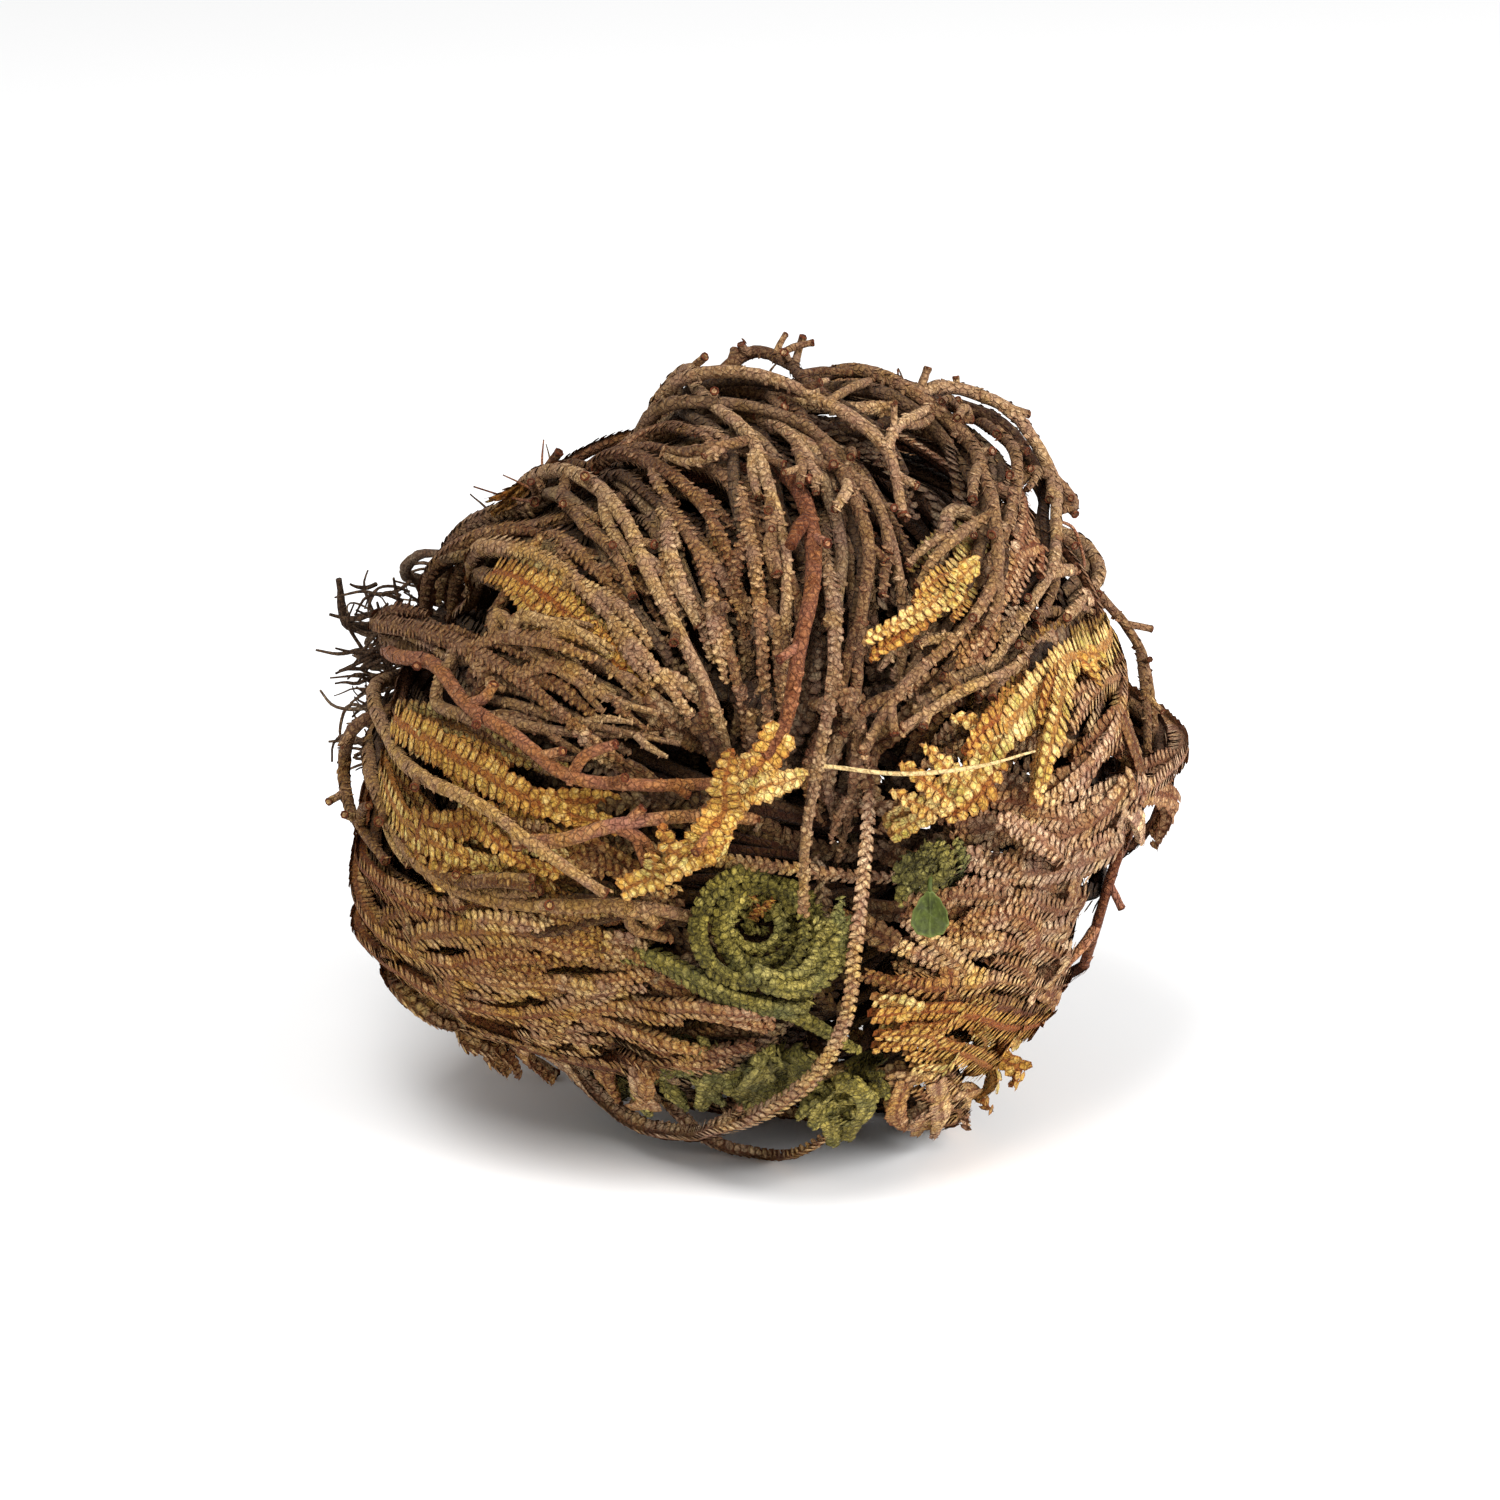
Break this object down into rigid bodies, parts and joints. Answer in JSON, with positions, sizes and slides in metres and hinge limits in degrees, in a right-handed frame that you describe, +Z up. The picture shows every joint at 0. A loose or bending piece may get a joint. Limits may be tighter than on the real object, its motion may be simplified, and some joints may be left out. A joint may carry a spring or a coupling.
{
  "type": "rose of jericho",
  "caption": "Dried resurrection plant curled into a ball: scaly fern-like stems arch from a root crown and close round an open mouth",
  "frame": {"origin": "on the surface the ball rests on, under the middle of its bounding box", "axes": "+Z up; -Y is the side with the open mouth of the curled ball, as pictured; +X to the right of a viewer who faces the mouth; the root crown is at the back, toward -X"},
  "size_m": [0.0862, 0.077, 0.0792],
  "materials": {
    "bark": "grey brown dried stem, dull, finely wrinkled along its length",
    "smooth": "red brown dried stem with its scales worn off, slightly satin",
    "scaly": "tan stem covered in small dried scale leaves with paler edges",
    "ribbon": "yellow ochre flattened frond of paired scale leaves",
    "green": "grey green inner frond, matte",
    "root": "dark grey brown root, rough and fibrous",
    "straw": "pale dry grass straw, slightly shiny"
  },
  "bodies": {
    "root": {"frond_top_arch": "bark", "frond_top_long": "bark", "frond_top_sweeping": "bark", "frond_top_middle": "bark", "frond_top_cut": "bark", "frond_top_inner": "bark", "frond_right_arch": "bark", "frond_right_prominent": "bark", "frond_right_second": "bark", "frond_right_third": "scaly", "frond_right_crossing": "bark", "frond_red_brown": "smooth", "frond_middle_scaly": "scaly", "frond_middle_tan": "scaly", "frond_left_upper": "scaly", "frond_left_smooth": "smooth", "frond_left_broad": "scaly", "frond_left_high": "bark", "frond_top_left": "scaly", "frond_left_forked": "scaly", "frond_left_yellow": "ribbon", "frond_left_rim": "bark", "frond_lower_long": "bark", "frond_lower_yellow": "scaly", "frond_lower_third": "scaly", "frond_lower_broad": "scaly", "frond_lower_edge": "scaly", "frond_ribbon_double": "ribbon", "frond_yellow_bundle": "ribbon", "stub_smooth_long": "bark", "frond_into_mouth": "smooth", "frond_green_coil": "green", "frond_green_shoot": "green", "frond_green_under": "green", "frond_green_fingers": "green", "frond_bottom_loop": "scaly", "frond_bottom_second_loop": "scaly", "frond_bottom_curl": "scaly", "frond_right_rim": "bark", "frond_right_wide": "scaly", "frond_right_braid": "scaly", "frond_right_lower": "scaly", "twig_red_brown": "smooth", "frond_right_band": "scaly", "frond_right_low_band": "scaly", "frond_orange_broad": "ribbon", "frond_lowest_right": "scaly", "frond_yellow_mauve": "ribbon", "frond_yellow_small": "ribbon", "frond_back_upper": "bark", "frond_back_right": "scaly", "frond_back_middle": "bark", "frond_back_lower": "scaly", "frond_hanging": "bark", "root_twig_thick": "root", "root_twig_red": "root", "straw": "straw", "root_crown": "root", "green_leaf": "green"}
  },
  "joints": []
}
